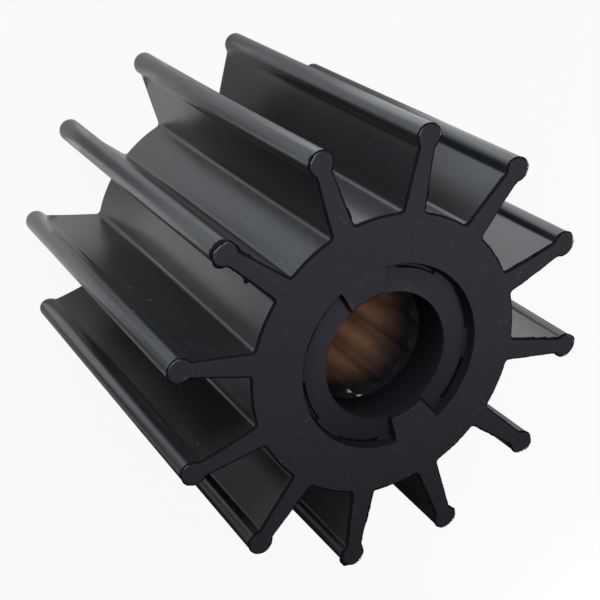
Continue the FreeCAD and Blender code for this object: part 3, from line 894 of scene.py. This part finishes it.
# %% [markdown]
# ## Camera
# The photograph looks down on the front face from the side, with the camera rolled so that the axis runs
# from the lower right to the upper left. Its place came from fitting the ends of the beads and the
# corners of the channels. The lens follows from the focal length in pixels of the square frame.

# %% Place the camera
FRAME_PIXELS = 600
FOCAL_PIXELS = 1327.9
SENSOR = 36.0
CAMERA_AZIMUTH, CAMERA_ELEVATION = math.radians(26.012), math.radians(54.007)
CAMERA_ROLL = math.radians(127.62)
CAMERA_DISTANCE = 301.03
AIM = Vector((-5.74, -0.92, 43.0))


def make_camera():
    data = bpy.data.cameras.new("camera")
    data.sensor_width = SENSOR
    data.lens = FOCAL_PIXELS * SENSOR / FRAME_PIXELS
    data.clip_start, data.clip_end = 0.01, 20.0
    made = bpy.data.objects.new("camera", data)
    level = math.cos(CAMERA_ELEVATION)
    back = Vector((
        level * math.cos(CAMERA_AZIMUTH), level * math.sin(CAMERA_AZIMUTH), math.sin(CAMERA_ELEVATION)))
    right = Vector((0, 0, 1)).cross(back).normalized()
    up = back.cross(right)
    turned_right = right * math.cos(CAMERA_ROLL) + up * math.sin(CAMERA_ROLL)
    turned_up = back.cross(turned_right)
    made.matrix_world = Matrix.Translation((AIM + back * CAMERA_DISTANCE) * MM) @ Matrix(
        (turned_right, turned_up, back)).transposed().to_4x4()
    scene.collection.objects.link(made)
    return made


scene.camera = make_camera()
print("camera at", [round(v / MM, 1) for v in scene.camera.location])
print("lens", round(scene.camera.data.lens, 2), "mm")

# %% [markdown]
# ## Floor
# Black rubber shows the room that it mirrors more than its own colour, so the studio is a mid-grey floor
# that stays calm in those reflections. To the camera the floor shows white, through the Light Path node,
# and a part of its true shading is kept, so the impeller still has its shadow.

# %% A floor that the camera sees white
FLOOR_HALF = 1.5
FLOOR_DROP = 0.02 * MM
FLOOR_GREY = 0.32
WHITE_TO_CAMERA, WHITE_TO_GLOSS = 0.93, 0.07
WHITE = (1, 1, 1, 1)


def white_shown(recipe):
    """How white the studio shows itself: fully to the camera, a little to what mirrors it."""
    camera = recipe.node("ShaderNodeLightPath", output="Is Camera Ray") * WHITE_TO_CAMERA
    gloss = recipe.node("ShaderNodeLightPath", output="Is Glossy Ray") * WHITE_TO_GLOSS
    clear = recipe.node("ShaderNodeLightPath", output="Is Transmission Ray") * WHITE_TO_GLOSS
    return camera + gloss + clear


def lay_sheet(name, low, high, height, material):
    """A flat sheet of the studio, from one corner to the other."""
    mesh = bpy.data.meshes.new(name)
    corners = [(low[0], low[1]), (high[0], low[1]), (high[0], high[1]), (low[0], high[1])]
    mesh.from_pydata([(x, y, height) for x, y in corners], [], [(0, 1, 2, 3)])
    mesh.materials.append(material)
    sheet = bpy.data.objects.new(name, mesh)
    scene.collection.objects.link(sheet)
    return sheet


def make_floor():
    recipe = Recipe("studio_floor")
    glow = recipe.node("ShaderNodeEmission", sockets={"Color": WHITE, "Strength": 1.0})
    shader = recipe.node("ShaderNodeMixShader", sockets={
        0: white_shown(recipe), 1: recipe.matt(FLOOR_GREY), 2: glow})
    reach = (FLOOR_HALF, FLOOR_HALF)
    return lay_sheet("studio_floor", [-v for v in reach], reach, -FLOOR_DROP, recipe.finish(shader))


print("laid:", make_floor().name)

# %% [markdown]
# ## Cards
# Two dark cards lie beside the lower blades, just over the floor. The camera doesn't see them: they keep
# the pale floor out of walls that are nearly black in the photograph, as a photographer's flags do.

# %% Lay the cards
CARD_LIFT = 0.3 * MM
CARDS = [  # name, corner with the lowest x and y, corner with the highest, grey
    ("black_card", (-0.16, -0.02), (-0.034, 0.11), 0.02),
    ("grey_card", (0.0, 0.068), (0.028, 0.105), 0.13),
]
for name, low, high, grey in CARDS:
    recipe = Recipe(name)
    card = lay_sheet(name, low, high, CARD_LIFT, recipe.finish(recipe.matt(grey)))
    card.visible_camera = card.visible_shadow = False
    print("laid:", card.name)

# %% [markdown]
# ## World
# The room round the floor is nearly dark, but the camera sees it white, so every side view has the same
# pale background.

# %% Make the room
WORLD_LEVEL = 0.02


def make_world():
    world = bpy.data.worlds.new("studio")
    recipe = Recipe("studio", world)
    strength = white_shown(recipe) + WORLD_LEVEL
    sky = recipe.node("ShaderNodeBackground", sockets={"Color": WHITE, "Strength": strength})
    recipe.node("ShaderNodeOutputWorld", sockets={"Surface": sky})
    return world


scene.world = make_world()
scene.view_settings.view_transform = "Standard"
print("world:", scene.world.name)

# %% [markdown]
# ## Soft lamps
# Square soft lamps stand round the impeller and look at its middle: the strong ones at the front, cool as
# daylight from a window, two low behind it and below the level of its face, and small ones above. They
# light the end face to about the level of its own colour.

# %% Lamps that stand
COOL, PLAIN = (0.94, 0.98, 1.0), (1.0, 1.0, 1.0)
SOFT_LAMPS = [  # name, azimuth, elevation, distance and size in metres, watts, colour
    ("key", 15, 30, 0.25, 0.14, 0.220, COOL),
    ("high_front", 30, 60, 0.25, 0.14, 0.240, COOL),
    ("low_front", 0, 8, 0.80, 0.45, 12.5, COOL),
    ("back_left", 195, 0, 0.25, 0.08, 0.40, COOL),
    ("back_right", 240, 0, 0.25, 0.08, 0.40, COOL),
    ("overhead", 206, 75, 0.25, 0.14, 0.040, PLAIN),
    ("behind", 240, 55, 0.15, 0.08, 0.022, PLAIN),
    ("close_front", 0, 60, 0.15, 0.08, 0.028, PLAIN),
]
MIDDLE = Vector((0, 0, LENGTH / 2 * MM))


def add_lamp(name, size, watts, colour=PLAIN):
    """A square soft lamp that no camera sees."""
    data = bpy.data.lights.new(name, "AREA")
    data.shape, data.size, data.energy, data.color = "SQUARE", size, watts, colour
    lamp = bpy.data.objects.new(name, data)
    lamp.visible_camera = False
    scene.collection.objects.link(lamp)
    return lamp


for name, azimuth, elevation, distance, size, watts, colour in SOFT_LAMPS:
    lamp = add_lamp(name, size, watts, colour)
    a, e = math.radians(azimuth), math.radians(elevation)
    away = Vector((math.cos(a) * math.cos(e), math.sin(a) * math.cos(e), math.sin(e)))
    lamp.location = MIDDLE + away * distance
    lamp.rotation_euler = away.to_track_quat("Z", "Y").to_euler()
print(len(SOFT_LAMPS), "lamps stand round the impeller")

# %% [markdown]
# ## Panels on the floor
# Weak panels lie on the floor and shine up, two of them under the blades. The sides of the blades mirror
# them, and that gives each wall the slow change from grey to black that makes it read as smooth rubber.

# %% Lamps that lie on the floor
PANEL_LIFT = 0.5
FLOOR_LAMPS = [  # name, azimuth, distance from the axis in mm, size in metres, watts
    ("floor_near", 0, 62, 0.040, 0.0020),
    ("floor_near_right", 330, 62, 0.040, 0.0011),
    ("floor_right", 330, 108, 0.056, 0.0136),
    ("floor_far_right", 300, 108, 0.056, 0.0115),
    ("floor_side", 270, 108, 0.056, 0.0080),
    ("floor_front", 0, 108, 0.056, 0.0034),
    ("floor_left", 30, 108, 0.056, 0.0046),
    ("floor_near_left", 60, 62, 0.040, 0.0035),
    ("floor_under", 30, 34, 0.036, 0.0014),
    ("floor_under_left", 84, 42, 0.022, 0.0002),
]
for name, azimuth, reach, size, watts in FLOOR_LAMPS:
    lamp = add_lamp(name, size, watts)
    a = math.radians(azimuth)
    lamp.location = (reach * MM * math.cos(a), reach * MM * math.sin(a), PANEL_LIFT * MM)
    lamp.rotation_euler = (math.pi, 0, a)

# %% [markdown]
# ## Last step
# The dressed model keeps inside the construction model's box: keep_inside held the wall's points to it.
# The dressed model has to stay inside the construction model's box. Last, the view layer is brought up
# to date.

# %% Bring the view layer up to date
bpy.context.view_layer.update()
